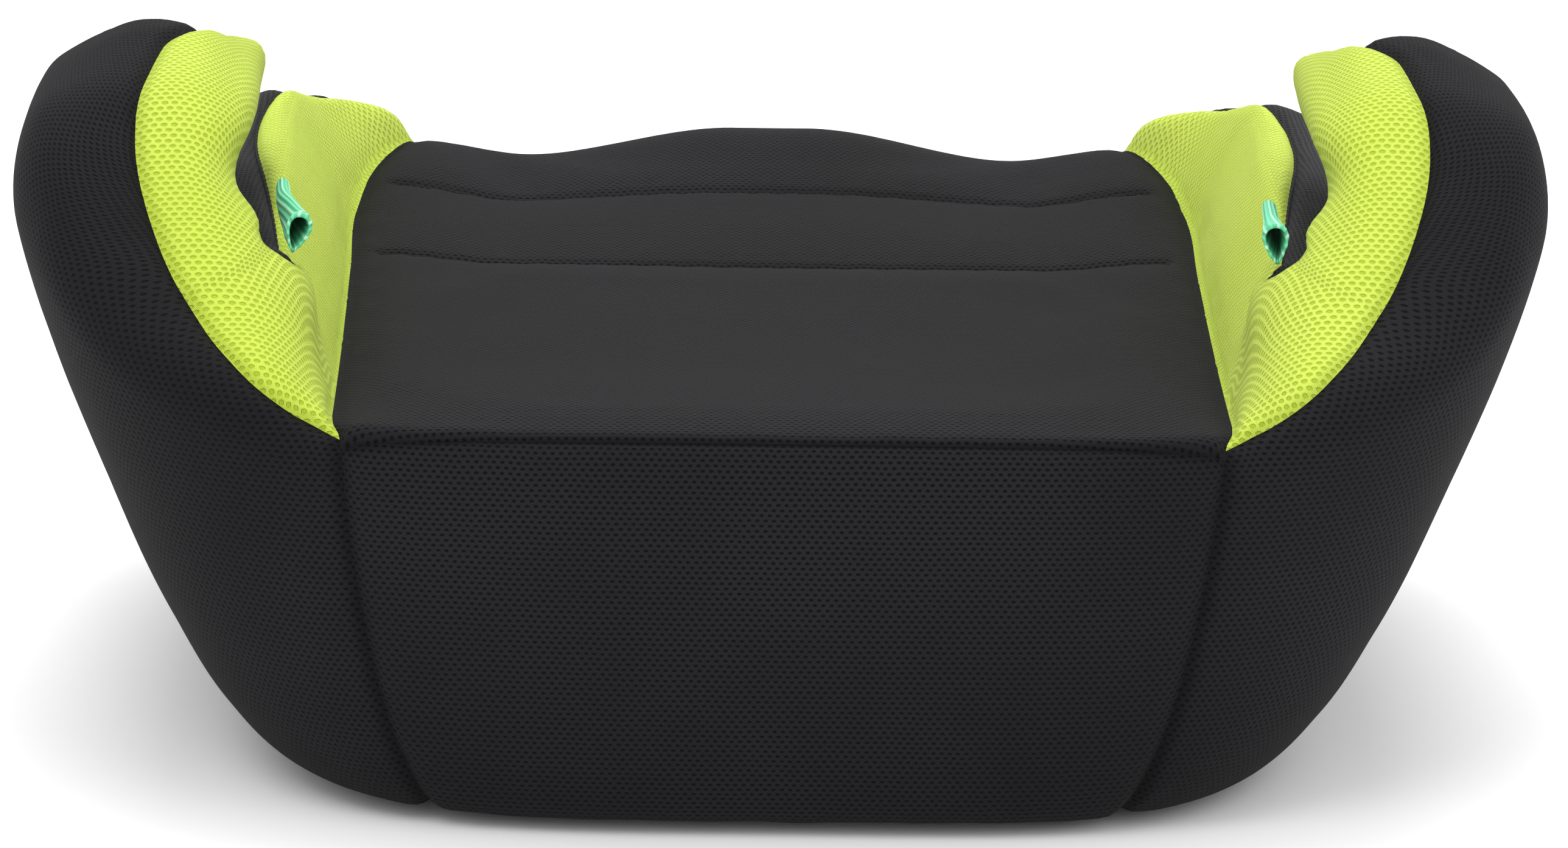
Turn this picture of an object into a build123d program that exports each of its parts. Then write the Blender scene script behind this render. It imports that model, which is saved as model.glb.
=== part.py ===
from build123d import *
import os

# Backless booster seat for a child. Millimetres, +Z up. The child faces -Y, the child's left is +X.
# The origin is on the floor under the middle of the seat.

# --- driving dimensions -------------------------------------------------------------------
HEIGHT = 208.0            # floor to the top of the armrests
SEAT_HALF = 123.0         # middle of the seat to the seam between seat panel and thigh bolster
COVER = 4.0               # thickness of the padded cover
ARM_PAD = 4.0             # soft foam round the stiff core of each armrest
HEM_Z = 1.5               # the cover ends this far above the floor: the rubber pads carry the seat
DECK_Z = 92.0             # top of the moulded foam body, where the seat foam is laid
REACH = 300.0             # further than any part of the seat, for cutting shapes

# The body seen from above, from the floor up: (height, half width, half depth, corner radius).
BODY_OUTLINES = [
    (HEM_Z, 142.0, 168.0, 60.0),
    (12.0, 156.0, 175.0, 66.0),
    (42.0, 174.0, 181.0, 74.0),
    (91.0, 196.0, 185.0, 84.0),
    (156.0, 220.0, 188.0, 96.0),
    (HEIGHT + 16.0, 229.0, 190.0, 100.0),
]

# Section across the seat through bolster and armrest: (x, z, rounding) of each corner.
ARM_SECTION = [
    (-60.0, 117.0, 1.0), (SEAT_HALF + 1.0, 117.0, 9.0), (142.5, 155.0, 14.0), (154.0, 170.0, 12.0),
    (147.0, 188.0, 14.0), (152.0, HEIGHT, 18.0), (183.0, HEIGHT, 24.0), (213.0, 187.0, 24.0),
    (235.0, 146.0, 2.0), (REACH, 136.0, 2.0), (REACH, -60.0, 2.0), (-60.0, -60.0, 2.0),
]
# Side line of the armrest, from the seat's back edge forward and up: (y, z, rounding).
ARM_BACK = [
    (REACH, 116.0, 2.0), (188.0, 119.0, 20.0), (150.0, 142.0, 60.0), (91.0, 195.0, 46.0),
    (53.0, HEIGHT, 38.0), (-REACH, HEIGHT, 2.0), (-REACH, -60.0, 2.0), (REACH, -60.0, 2.0),
]
# Open space in front of the armrest and above the thigh bolster, in side view at SLOT_X.
SLOT_X = 140.0
SLOT_DROP = 0.45          # the belt slot falls this much for each millimetre outward
SLOT_FROM = 90.0          # the slot is cut from this x out to the next
SLOT_TO = 260.0
SLOT_SIDE = [
    (122.0, 152.5, 1.5), (122.0, 156.0, 1.5), (106.0, 161.0, 15.0), (84.0, 173.0, 20.0), (2.0, 178.0, 7.0),
    (1.0, 198.0, 9.0), (37.0, HEIGHT + 0.6, 2.0), (37.0, REACH, 2.0), (-REACH, REACH, 2.0),
    (-REACH, 104.0, 2.0), (-200.0, 110.0, 10.0), (-149.0, 143.0, 40.0), (-106.0, 157.0, 58.0),
    (0.0, 157.0, 90.0),
]
SLOT_BACK_Y = 112.0       # behind this the bolster and the armrest are one
SLOT_MID = [(-40.0, 163.0), (SLOT_BACK_Y, 155.5)]   # a line between the slot's floor and its roof

# Side line of the seat, and the two dips for the thighs at its front edge.
SEAT_SIDE = [
    (192.0, 60.0, 1.0), (192.0, 118.5, 4.0), (110.0, 115.0, 80.0), (10.0, 114.0, 100.0),
    (-95.0, 118.0, 100.0), (-158.0, 128.0, 50.0), (-188.0, 128.0, 22.0), (-188.0, 60.0, 1.0),
]
DIP_X = 79.0
DIP_Z = 119.5             # lowest line of each dip
DIP_R = 92.0

# Seams of the cover.
BACK_TOP_Z = 116.0        # top seam of the back panel
BACK_SEAM_TOP = 121.0     # half width of the back panel at the seat
BACK_SEAM_FOOT = 97.0     # half width of the back panel at the floor
FRONT_TOP_Z = 98.0        # seam where the seat panel, brought over the front edge, ends
FRONT_HALF = 110.0        # half width of the front panel
CREST_X = 149.0           # seam along the top of each thigh bolster
LIME_FOOT_Z = 104.0
LIME_EDGE = [
    (100.0, 114.0), (125.0, 114.0), (148.0, 128.0), (168.0, 142.0), (184.0, 157.0), (191.0, 178.0),
    (187.0, 196.0), (172.0, 219.0), (100.0, 219.0),
]
LINER_X = (CREST_X, 230.0)
LINER_Y = (-115.0, 140.0)
LINER_Z = (134.0, 180.0)  # at SLOT_X

# Underside: hem, elastic, base plate, screws and rubber pads.
HEM_T = 3.0
ELASTIC_W = 5.0
PLATE_INSET = 24.0        # base plate's edge, measured in from the body's edge
SCREWS = [(x, y) for x in (-88.0, 0.0, 88.0) for y in (-118.0, 118.0)]
SCREW_R = 2.2
SCREW_HEAD_R = 4.2
SCREW_HEAD_T = 1.6
SCREW_LENGTH = 26.0
PADS = [(x, y) for x in (-80.0, 80.0) for y in (-92.0, 92.0)]
PAD_R = 15.0
PAD_STEM_R = 3.0
HOOK_LENGTH = 16.0
HOOK_WIDTH = 9.0
HOOK_T = 1.0
HOOKS_Y = (-80.0, 0.0, 80.0)

# Armrest cores reach down into the body and are held there by cross pins.
TONGUE_X = (130.0, 156.0)
TONGUE_Y = (114.0, 142.0)
TONGUE_Z = 48.0
PIN_R = 4.0
PIN_HEAD_R = 6.5
PIN_HEAD_T = 3.0
PINS_Y = (120.0, 136.0)
PIN_Z = 66.0
PIN_X = (112.0, 164.0)

# Guide loops of folded webbing, sewn in at the closed end of each belt slot.
LOOP_Y = (78.0, 119.0)
LOOP_X = 141.5            # sewn edge, about which the loop flaps
LOOP_Z = 154.4
LOOP_LEAN = 20.0          # degrees, towards the seat
LOOP_SHAPE = [(-0.8, -0.7, 0.7), (0.8, -0.7, 0.7), (2.8, 5.5, 2.0), (1.9, 9.0, 1.8),
              (-1.9, 9.0, 1.8), (-2.8, 5.5, 2.0)]
WEBBING_T = 1.1


def rounded_face(corners, plane):
    """A closed outline with a rounding at each corner, filled."""
    points = [(a, b) for a, b, _ in corners]
    radii = [r for _, _, r in corners]
    return make_face(plane * FilletPolyline(*points, radius=radii, close=True))


def shrunk(face, inset):
    return offset(face, amount=-inset, kind=Kind.INTERSECTION) if inset else face


def box(x, y, z):
    """A box between two corners, given as pairs."""
    size = [b - a for a, b in (x, y, z)]
    return Pos(x[0], y[0], z[0]) * Box(*size, align=(Align.MIN, Align.MIN, Align.MIN))


def outline(inset, z, height):
    """A slab with the outline of the body's foot, drawn in by inset."""
    _, half_width, half_depth, radius = BODY_OUTLINES[0]
    face = RectangleRounded(2 * (half_width - inset), 2 * (half_depth - inset), radius - inset)
    return extrude(Pos(0, 0, z) * face, amount=height)


def body_block(inset, floor):
    """The body's outer form, shrunk all round by inset and cut off below floor."""
    faces = []
    for z, half_width, half_depth, radius in BODY_OUTLINES:
        size = (2 * (half_width - inset), 2 * (half_depth - inset))
        faces.append(Pos(0, 0, z) * RectangleRounded(*size, radius - inset))
    block = loft(faces, ruled=True)
    return block - box((-REACH, REACH), (-REACH, REACH), (-50, floor))


def slanted(face):
    """A side view at SLOT_X, made solid outward along the fall of the belt slot."""
    run = SLOT_TO - SLOT_FROM
    start = Pos(SLOT_FROM, 0, -SLOT_DROP * (SLOT_FROM - SLOT_X)) * face
    way = Vector(1, 0, -SLOT_DROP)
    return extrude(start, amount=run * way.length, dir=way)


def slot_space(grow):
    return slanted(shrunk(rounded_face(SLOT_SIDE, Plane.YZ), -grow))


def slanted_area(corners):
    return slanted(make_face(Plane.YZ * Polyline(*corners, close=True)))


def left_half(inset, floor):
    """Left half of the whole seat, shrunk by inset wherever it has an outer surface."""
    section = extrude(shrunk(rounded_face(ARM_SECTION, Plane.XZ), inset), amount=REACH, both=True)
    back = extrude(shrunk(rounded_face(ARM_BACK, Plane.YZ), inset), amount=REACH, both=True)
    half = body_block(inset, floor) & section & back
    return half - slot_space(inset)


def seat_block(inset):
    """Seat cushion between the bolsters, from the deck up, with its two thigh dips."""
    side = extrude(shrunk(rounded_face(SEAT_SIDE, Plane.YZ), inset), amount=SEAT_HALF, both=True)
    block = side & body_block(inset, HEM_Z)
    for x in (-DIP_X, DIP_X):
        radius = DIP_R + inset
        block -= Pos(x, 0, DIP_Z + DIP_R) * Rot(90, 0, 0) * Cylinder(radius, 2 * REACH)
    return block


def in_wing(z0):
    """Everything outside the seat panel on the left, above z0."""
    return box((SEAT_HALF, REACH), (-REACH, REACH), (z0, REACH))


def arm_part(solid):
    """The armrest's share of a piece of the left wing."""
    over_slot = slanted_area(SLOT_MID + [(SLOT_BACK_Y, REACH), (SLOT_MID[0][0], REACH)])
    behind = box((0, REACH), (SLOT_BACK_Y, REACH), (0, REACH))
    return solid & (over_slot + behind)


def pin_bodies():
    """Two cross pins of the left armrest core."""
    pins = []
    for y in PINS_Y:
        at = Pos(PIN_X[0], y, PIN_Z) * Rot(0, 90, 0)
        low = (Align.CENTER, Align.CENTER, Align.MIN)
        pin = at * Cylinder(PIN_R, PIN_X[1] - PIN_X[0], align=low)
        pins.append(pin + at * Cylinder(PIN_HEAD_R, PIN_HEAD_T, align=low))
    return pins


def screw_bodies():
    screws = []
    low = (Align.CENTER, Align.CENTER, Align.MIN)
    for x, y in SCREWS:
        screw = Pos(x, y, HEM_Z) * Cylinder(SCREW_R, SCREW_LENGTH, align=low)
        screws.append(screw + Pos(x, y, HEM_Z) * Cylinder(SCREW_HEAD_R, SCREW_HEAD_T, align=low))
    return screws


def pad_bodies():
    pads = []
    low = (Align.CENTER, Align.CENTER, Align.MIN)
    for x, y in PADS:
        pad = Pos(x, y, 0) * Cylinder(PAD_R, HEM_Z, align=low)
        pads.append(pad + Pos(x, y, 0) * Cylinder(PAD_STEM_R, HEM_Z + HEM_T, align=low))
    return pads


def hook_bodies():
    """Flat hooks that reach from the hem's elastic under the base plate."""
    edge = BODY_OUTLINES[0][1] - PLATE_INSET
    hooks = []
    for side in (-1, 1):
        for y in HOOKS_Y:
            plate = Box(HOOK_LENGTH, HOOK_WIDTH, HOOK_T)
            hook = fillet(plate.edges().filter_by(Axis.Z), 2)
            hooks.append(Pos(side * edge, y, HEM_Z - HOOK_T / 2) * hook)
    return hooks


def guide_loop():
    """Folded webbing, sewn along its lower edge and leaning towards the seat."""
    shape = rounded_face(LOOP_SHAPE, Plane.XZ)
    tube = shape - offset(shape, amount=-WEBBING_T, kind=Kind.ARC)
    length = LOOP_Y[1] - LOOP_Y[0]
    loop = extrude(tube, amount=length / 2, both=True)
    return Pos(LOOP_X, sum(LOOP_Y) / 2, LOOP_Z) * Rot(0, -LOOP_LEAN, 0) * loop


def mirrored(shape):
    return mirror(shape, about=Plane.YZ)


def both_sides(name, shape, nodes):
    nodes[name + "_left"] = shape
    nodes[name + "_right"] = mirrored(shape)


def underside(nodes):
    """Base plate with its screws and rubber pads, and the elastic hem round it."""
    screws, pads = screw_bodies(), pad_bodies()
    plate = outline(PLATE_INSET, HEM_Z, HEM_T)
    for body in screws + pads:
        plate -= body
    elastic_inset = PLATE_INSET - ELASTIC_W
    foot = body_block(0, HEM_Z) & box((-REACH, REACH), (-REACH, REACH), (HEM_Z, HEM_Z + HEM_T))
    nodes["base_plate"] = plate
    nodes["plate_screws"] = Compound(children=screws)
    nodes["rubber_pads"] = Compound(children=pads)
    nodes["hem_elastic"] = outline(elastic_inset, HEM_Z, HEM_T) - outline(PLATE_INSET, HEM_Z, HEM_T)
    nodes["hem_band"] = foot - outline(elastic_inset, HEM_Z, HEM_T)
    nodes["cover_hooks"] = Compound(children=hook_bodies())


def inside(nodes):
    """Foam body, seat foam, bolsters and armrests, each with its stiff core."""
    floor = HEM_Z + HEM_T
    inner = left_half(COVER, floor)
    wing = inner & in_wing(DECK_Z)
    arm = arm_part(wing)
    bolster = wing - arm
    tongue = box(TONGUE_X, TONGUE_Y, (TONGUE_Z, DECK_Z + 20.0))
    deep = arm_part(left_half(COVER + ARM_PAD, floor) & in_wing(DECK_Z))
    core = deep + (tongue & (arm + box((0, REACH), (0, REACH), (0, DECK_Z))))
    foam = arm - core
    pins = pin_bodies()
    body = body_block(COVER, floor) & box((-REACH, REACH), (-REACH, REACH), (0, DECK_Z))
    for piece in (core, mirrored(core), *screw_bodies()):
        body -= piece
    for pin in pins:
        core -= pin
        body -= pin
        body -= mirrored(pin)
    nodes["foam_body"] = body
    nodes["seat_foam"] = seat_block(COVER) & box((-REACH, REACH), (-REACH, REACH), (DECK_Z, REACH))
    both_sides("bolster_foam", bolster, nodes)
    both_sides("arm_core", core, nodes)
    both_sides("arm_foam", foam, nodes)
    nodes["arm_pins"] = Compound(children=pins + [mirrored(p) for p in pins])


def cover(nodes):
    """The sewn cover: seat, back, front, side, armrest and slot panels."""
    floor = HEM_Z + HEM_T
    wall = body_block(0, floor) - body_block(COVER, HEM_Z)
    slope = (BACK_SEAM_TOP - BACK_SEAM_FOOT) / BACK_TOP_Z
    half = [BACK_SEAM_FOOT + slope * z for z in (floor, BACK_TOP_Z)]
    corners = [(-half[0], floor), (half[0], floor), (half[1], BACK_TOP_Z), (-half[1], BACK_TOP_Z)]
    back_zone = extrude(make_face(Plane.XZ * Polyline(*corners, close=True)), amount=REACH, both=True)
    back_zone &= box((-REACH, REACH), (0, REACH), (0, REACH))
    front_zone = box((-FRONT_HALF, FRONT_HALF), (-REACH, 0), (floor, FRONT_TOP_Z))
    nodes["back_panel"] = wall & back_zone
    nodes["front_panel"] = wall & front_zone

    shell = seat_block(0) - seat_block(COVER)
    shell &= box((-REACH, REACH), (-REACH, REACH), (FRONT_TOP_Z, REACH))
    nodes["seat_panel"] = shell - (wall & box((-REACH, REACH), (0, REACH), (0, BACK_TOP_Z)))

    outer = left_half(0, floor)
    skin = (outer - left_half(COVER, HEM_Z)) & in_wing(floor)
    low_front = box((0, SEAT_HALF), (-REACH, 0), (floor, FRONT_TOP_Z))
    low_back = box((0, SEAT_HALF), (0, REACH), (floor, BACK_TOP_Z))
    corner_strips = (wall & (low_front + low_back)) - back_zone - front_zone

    corners = [(y, z) for y, z in zip(LINER_Y + LINER_Y[::-1], sorted(LINER_Z * 2))]
    lining = slot_space(COVER) & slanted_area(corners)
    lining &= box(LINER_X, (-REACH, REACH), (0, REACH))
    liner = skin & lining
    lime_arm = extrude(make_face(Plane.XZ * Polyline(*LIME_EDGE, close=True)), amount=REACH, both=True)
    lime_bolster = box((0, CREST_X), (-REACH, SLOT_BACK_Y), (LIME_FOOT_Z, REACH))
    arm_skin = arm_part(skin)
    lime = (arm_skin & lime_arm) + ((skin - arm_skin) & lime_bolster)
    lime -= liner
    both_sides("slot_liner", liner, nodes)
    both_sides("arm_panel", lime, nodes)
    both_sides("side_panel", (skin + corner_strips) - lime - liner, nodes)


def main():
    nodes = {}
    underside(nodes)
    inside(nodes)
    cover(nodes)
    both_sides("guide_loop", guide_loop(), nodes)
    os.makedirs("parts", exist_ok=True)
    for name, shape in nodes.items():
        export_step(shape, f"parts/{name}.step")


if __name__ == "__main__":
    main()
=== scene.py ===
import math

import bpy
import numpy as np
from mathutils import Matrix, Vector
from mathutils.kdtree import KDTree


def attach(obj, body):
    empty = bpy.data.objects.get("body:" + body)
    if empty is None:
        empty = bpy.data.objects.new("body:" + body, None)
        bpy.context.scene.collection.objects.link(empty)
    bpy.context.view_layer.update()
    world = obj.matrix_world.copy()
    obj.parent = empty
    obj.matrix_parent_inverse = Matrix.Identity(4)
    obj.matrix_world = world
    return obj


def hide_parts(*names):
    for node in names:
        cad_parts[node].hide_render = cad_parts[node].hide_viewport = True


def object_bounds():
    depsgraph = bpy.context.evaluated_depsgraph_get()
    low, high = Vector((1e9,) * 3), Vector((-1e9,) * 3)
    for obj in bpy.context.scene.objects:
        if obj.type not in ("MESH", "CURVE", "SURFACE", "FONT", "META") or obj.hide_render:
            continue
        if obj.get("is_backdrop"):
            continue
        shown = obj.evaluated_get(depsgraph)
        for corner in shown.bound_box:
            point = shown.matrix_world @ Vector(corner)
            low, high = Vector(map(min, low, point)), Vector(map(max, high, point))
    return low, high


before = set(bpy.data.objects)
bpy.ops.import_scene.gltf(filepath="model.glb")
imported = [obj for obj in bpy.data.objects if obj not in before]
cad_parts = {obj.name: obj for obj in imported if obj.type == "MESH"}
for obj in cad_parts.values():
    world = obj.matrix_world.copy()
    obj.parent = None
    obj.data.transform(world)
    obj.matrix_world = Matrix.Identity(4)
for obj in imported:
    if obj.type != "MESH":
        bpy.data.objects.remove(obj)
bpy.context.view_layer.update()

# Lengths inside the shape code are millimetres; meshes are made in metres.
# The child faces -Y, +Z is up, and the seat is its own mirror image about X = 0.
MM = 0.001
GRID = 2.5     # size of the mesh cells of the cover
SEAT_HALF = 122.0         # half width of the seat panel
HEIGHT = 208.5            # top of the armrests
HEM_Z = 1.5               # underside of the cover
PLATE_INSET = 24.0        # from the cover's outline to its opening under the seat
ELASTIC_W = 5.0
CLOTH_THICK = 2.4
COVER_BOX = np.array([(-236.0, -200.0, -4.0), (236.0, 200.0, 216.0)])
SEAT_ZONE_Z = (100, 140)  # heights between which a point can be on the seat's top
CLOTH_GRID = 7.0          # size of the mesh cells of the simulated cloth
CLOTH_FRAMES = 16
LIFT_RANGE = (-0.3, 2.4)  # how far the simulated cloth may move the cover


# ------------------------------------------------------------------ curves and fields
def curve(knots):
    """A smooth function of one number through (t, value) knots."""
    t = np.array([k[0] for k in knots], float)
    v = np.array([k[1] for k in knots], float)
    order = np.argsort(t)
    t, v = t[order], v[order]
    slope = np.gradient(v, t)

    def value(x):
        x = np.clip(x, t[0], t[-1])
        i = np.clip(np.searchsorted(t, x) - 1, 0, len(t) - 2)
        h = t[i + 1] - t[i]
        s = (x - t[i]) / h
        a = (1 + 2 * s) * (1 - s) ** 2 * v[i] + s * (1 - s) ** 2 * h * slope[i]
        return a + s * s * (3 - 2 * s) * v[i + 1] + s * s * (s - 1) * h * slope[i + 1]

    return value


def smooth_step(lo, hi, x):
    s = np.clip((x - lo) / (hi - lo), 0, 1)
    return s * s * (3 - 2 * s)


def smooth_max(a, b, k):
    h = np.maximum(k - np.abs(a - b), 0) / k
    return np.maximum(a, b) + h * h * k / 4


def rounded_outline(corners, steps=7):
    """Points round a closed outline given as (a, b, rounding) corners."""
    points = []
    n = len(corners)
    for i, (a, b, r) in enumerate(corners):
        here = np.array([a, b])
        before = np.array(corners[i - 1][:2]) - here
        after = np.array(corners[(i + 1) % n][:2]) - here
        u, v = before / np.linalg.norm(before), after / np.linalg.norm(after)
        half = math.acos(np.clip(u @ v, -1, 1)) / 2
        cut = r / math.tan(half)
        for s in np.linspace(0, 1, steps):
            points.append(here + u * cut * (1 - s) ** 2 + v * cut * s ** 2)
    return np.array(points)


class Profile:
    """Signed distance to a closed outline in a plane, from a table with 1 mm steps."""

    def __init__(self, corners, low, high):
        outline = rounded_outline(corners)
        self.low = np.array(low, float)
        self.size = (np.array(high) - self.low).astype(int) + 1
        a, b = np.meshgrid(*(self.low[i] + np.arange(self.size[i]) for i in (0, 1)), indexing="ij")
        near = np.full(a.shape, 1e9)
        inside = np.zeros(a.shape, bool)
        for p, q in zip(outline, np.roll(outline, -1, 0)):
            d = q - p
            if d @ d < 1e-9:
                continue
            t = np.clip(((a - p[0]) * d[0] + (b - p[1]) * d[1]) / (d @ d), 0, 1)
            near = np.minimum(near, (a - p[0] - t * d[0]) ** 2 + (b - p[1] - t * d[1]) ** 2)
            if abs(d[1]) > 1e-9:
                crossing = (b >= min(p[1], q[1])) & (b < max(p[1], q[1]))
                inside ^= crossing & (a < p[0] + (b - p[1]) / d[1] * d[0])
        self.table = np.sqrt(near) * np.where(inside, -1, 1)

    def __call__(self, a, b):
        i = np.clip(a - self.low[0], 0, self.size[0] - 1.001)
        j = np.clip(b - self.low[1], 0, self.size[1] - 1.001)
        i0, j0 = i.astype(int), j.astype(int)
        s, t = i - i0, j - j0
        q = self.table
        low = q[i0, j0] * (1 - s) + q[i0 + 1, j0] * s
        high = q[i0, j0 + 1] * (1 - s) + q[i0 + 1, j0 + 1] * s
        return low * (1 - t) + high * t


# ------------------------------------------------------------------ the seat's form
ARM_SECTION = Profile([
    (-60, 117, 1), (123, 117, 8), (142.5, 156, 13), (154, 170, 11), (144.5, 187, 15),
    (163, HEIGHT, 26), (185, HEIGHT, 26), (214, 188, 26), (243, 136, 2), (300, 126, 2),
    (300, -60, 2), (-60, -60, 2)], (-60, -60), (300, 260))
ARM_BACK = Profile([
    (300, 118, 2), (188, 119, 20), (150, 142, 60), (92, 196, 46), (52, HEIGHT, 36),
    (-300, HEIGHT, 2), (-300, -60, 2), (300, -60, 2)], (-300, -60), (300, 260))
SLOT = Profile([
    (122, 152.5, 1.5), (122, 156, 1.5), (106, 161, 15), (84, 173.5, 20), (2, 178, 8), (-2, 198, 12),
    (34, HEIGHT + 4, 6), (34, 330, 2), (-300, 330, 2), (-300, 105, 2), (-200, 114, 10),
    (-150, 148, 40), (-100, 165.5, 50), (0, 162.5, 90)], (-300, -60), (300, 320))
SLOT_X = 140.0
SLOT_DROP = 0.45

# Half width and half depth of the rounded outline, by height.
half_width = curve([(0, 139), (8, 151), (22, 164), (45, 178), (85, 196), (121, 210), (156, 220), (220, 227)])
half_depth = curve([(0, 167), (8, 173), (22, 178), (45, 181.5), (85, 184.5), (121, 187), (156, 188),
                    (220, 189)])
SQUARENESS = 4.0

# Seam between seat panel and bolster: half width from front to back.
seat_edge = curve([(-190, 113), (-170, 118), (-147, 125.5), (-97, 130), (-21, 127.5), (65, 124.5),
                   (183, 121)])
# Seat surface from front to back, at the middle, in the thigh dips and at the sides.
seat_mid = curve([(-195, 127), (-172, 129.5), (-140, 124), (-80, 118), (20, 115), (120, 116), (190, 119.5)])
seat_dip = curve([(-195, 117), (-172, 120), (-140, 119), (-80, 117), (20, 115.5), (120, 116), (190, 119.5)])
seat_side = curve([(-195, 122.5), (-172, 126), (-140, 125.5), (-80, 121), (20, 118), (120, 117.5),
                   (190, 119)])
SEAT_LEVEL = 117.0


def seat_height(x, y):
    to_dip = smooth_step(12, 80, x)
    to_side = smooth_step(80, 122, x)
    return seat_mid(y) * (1 - to_dip) + (seat_dip(y) * (1 - to_side) + seat_side(y) * to_side) * to_dip


def outline_radius(angles, a, b):
    """Distance from the middle to the rounded outline of half width a and half depth b."""
    return ((np.abs(np.cos(angles)) / a) ** SQUARENESS
            + (np.abs(np.sin(angles)) / b) ** SQUARENESS) ** (-1 / SQUARENESS)


def outline_inset(x, y, z):
    """About how far a point lies outside the rounded outline at height z; negative inside."""
    a, b = half_width(z), half_depth(z)
    r = (np.abs(x / a) ** SQUARENESS + np.abs(y / b) ** SQUARENESS) ** (1 / SQUARENESS)
    return (r - 1) * (a + b) / 2


def slot_field(p):
    """Signed distance, roughly, to the belt slot, whose closed end runs forward towards the outer wall."""
    x, y = np.abs(p[:, 0]), p[:, 1]
    y = y + 50 * smooth_step(168, 214, x) * smooth_step(20, 70, y)
    return SLOT(y, p[:, 2] + SLOT_DROP * (x - SLOT_X))


def body_field(p):
    """Signed distance, roughly, to the padded seat without its slots."""
    x, y, z = np.abs(p[:, 0]), p[:, 1], p[:, 2]
    lift = (seat_height(x, y) - SEAT_LEVEL) * (1 - smooth_step(118, 150, x))
    bow = (seat_edge(y) - SEAT_HALF) * (1 - smooth_step(150, 215, x))
    bow -= 7.5 * smooth_step(97, 121, y) * smooth_step(124, 150, z) * (1 - smooth_step(160, 185, z))
    over_seat = 1 - smooth_step(112, 131, x)
    section = ARM_SECTION(x - bow, z - lift)
    form = smooth_max(section, ARM_BACK(y, z - 16 * over_seat), 20)
    form = smooth_max(form, outline_inset(x, y, z), 15 - 8 * over_seat)
    return smooth_max(form, HEM_Z - z, 7)


def seat_field(p):
    return smooth_max(body_field(p), -slot_field(p), 9)


def gradient(field, p, step=0.6):
    g = np.empty_like(p)
    for i in range(3):
        d = np.zeros(3)
        d[i] = step
        g[:, i] = (field(p + d) - field(p - d)) / (2 * step)
    return g


def outward(p):
    """Unit normals of the seat's plain form."""
    normal = gradient(seat_field, p)
    return normal / np.linalg.norm(normal, axis=1)[:, None]


def onto_surface(field, p, times=2):
    for _ in range(times):
        g = gradient(field, p)
        p = p - g * (field(p) / np.maximum((g * g).sum(1), 1e-3))[:, None]
    return p


# ------------------------------------------------------------------ meshing
CORNERS = np.array([(i, j, k) for i in (0, 1) for j in (0, 1) for k in (0, 1)])
CELL_EDGES = [(a, b) for a in range(8) for b in range(a + 1, 8)
              if np.abs(CORNERS[a] - CORNERS[b]).sum() == 1]


def surface_net(field, low, high, step):
    """Quads near the zero surface of a field, one vertex to a cell."""
    counts = np.ceil((np.array(high) - low) / step).astype(int) + 1
    axes = [low[i] + step * np.arange(counts[i]) for i in range(3)]
    values = np.empty(counts, np.float32)
    yz = np.stack(np.meshgrid(axes[1], axes[2], indexing="ij"), -1).reshape(-1, 2)
    for i, x in enumerate(axes[0]):
        p = np.column_stack([np.full(len(yz), x), yz])
        values[i] = field(p).reshape(counts[1:])
    sign = values < 0
    cells = np.zeros(counts - 1, int)
    for c in CORNERS:
        cells += sign[c[0]:counts[0] - 1 + c[0], c[1]:counts[1] - 1 + c[1], c[2]:counts[2] - 1 + c[2]]
    active = np.argwhere((cells > 0) & (cells < 8))
    index = np.full(counts - 1, -1)
    index[tuple(active.T)] = np.arange(len(active))
    total = np.zeros((len(active), 3))
    used = np.zeros(len(active))
    for a, b in CELL_EDGES:
        pa, pb = active + CORNERS[a], active + CORNERS[b]
        va, vb = values[tuple(pa.T)], values[tuple(pb.T)]
        cross = (va < 0) != (vb < 0)
        t = np.where(cross, va / np.where(cross, va - vb, 1), 0)
        total += np.where(cross[:, None], pa + (pb - pa) * t[:, None], 0)
        used += cross
    points = np.array(low) + step * total / used[:, None]
    quads = []
    for axis in range(3):
        u, v = (axis + 1) % 3, (axis + 2) % 3
        here = [slice(None)] * 3
        there = [slice(None)] * 3
        here[axis], there[axis] = slice(0, -1), slice(1, None)
        change = sign[tuple(here)] != sign[tuple(there)]
        at = np.argwhere(change)
        at = at[(at[:, u] > 0) & (at[:, v] > 0) & (at[:, u] < counts[u] - 1) & (at[:, v] < counts[v] - 1)]
        ring = []
        for du, dv in ((0, 0), (-1, 0), (-1, -1), (0, -1)):
            cell = at.copy()
            cell[:, u] += du
            cell[:, v] += dv
            ring.append(index[tuple(cell.T)])
        quad = np.stack(ring, 1)
        inward = sign[tuple(at.T)]
        quads.append(np.where(inward[:, None], quad, quad[:, ::-1]))
    return points, np.concatenate(quads)


def relax(points, quads, field, times):
    """Evens out the vertices along the surface."""
    ends = np.concatenate([quads[:, [0, 1]], quads[:, [1, 2]], quads[:, [2, 3]], quads[:, [3, 0]]])
    degree = np.bincount(ends[:, 0], minlength=len(points)).astype(float)
    for _ in range(times):
        total = np.stack([np.bincount(ends[:, 0], points[ends[:, 1], i], len(points)) for i in range(3)], 1)
        points = points * 0.4 + total / degree[:, None] * 0.6
        points = onto_surface(field, points, 1)
    return points


def triangles_of(quads):
    return np.concatenate([quads[:, [0, 1, 2]], quads[:, [0, 2, 3]]])


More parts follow.
